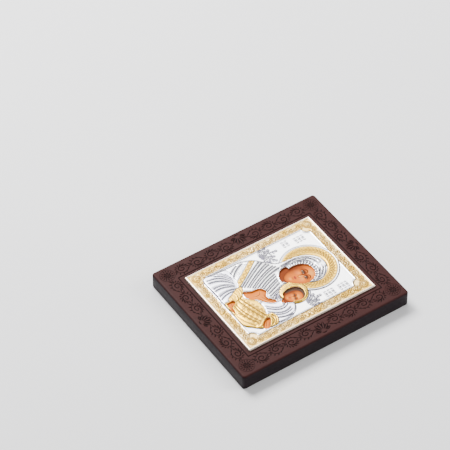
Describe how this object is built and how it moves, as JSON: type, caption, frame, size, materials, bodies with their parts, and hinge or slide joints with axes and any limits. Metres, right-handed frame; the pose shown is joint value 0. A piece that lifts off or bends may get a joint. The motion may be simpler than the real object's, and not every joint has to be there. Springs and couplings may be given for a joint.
{
  "type": "icon panel",
  "caption": "Icon panel: a brown wooden board with an engraved border and a raised, partly gilded silver cover whose openings show a painted picture.",
  "frame": {"origin": "middle of the board's flat back, with the panel lying on it", "axes": "+X to the picture's right, +Y to the picture's top, +Z out of the face"},
  "size_m": [0.165, 0.2, 0.0218],
  "materials": {
    "board_wood": "dark brown stained and satin varnished, engraved lines darker",
    "cover_silver": "polished and satin silver with gilded haloes, border and mantle",
    "picture_paint": "painted or printed picture in warm flesh colours under satin varnish"
  },
  "bodies": {
    "root": {"wooden_board": "board_wood", "painted_picture": "picture_paint", "silver_cover": "cover_silver"}
  },
  "joints": []
}
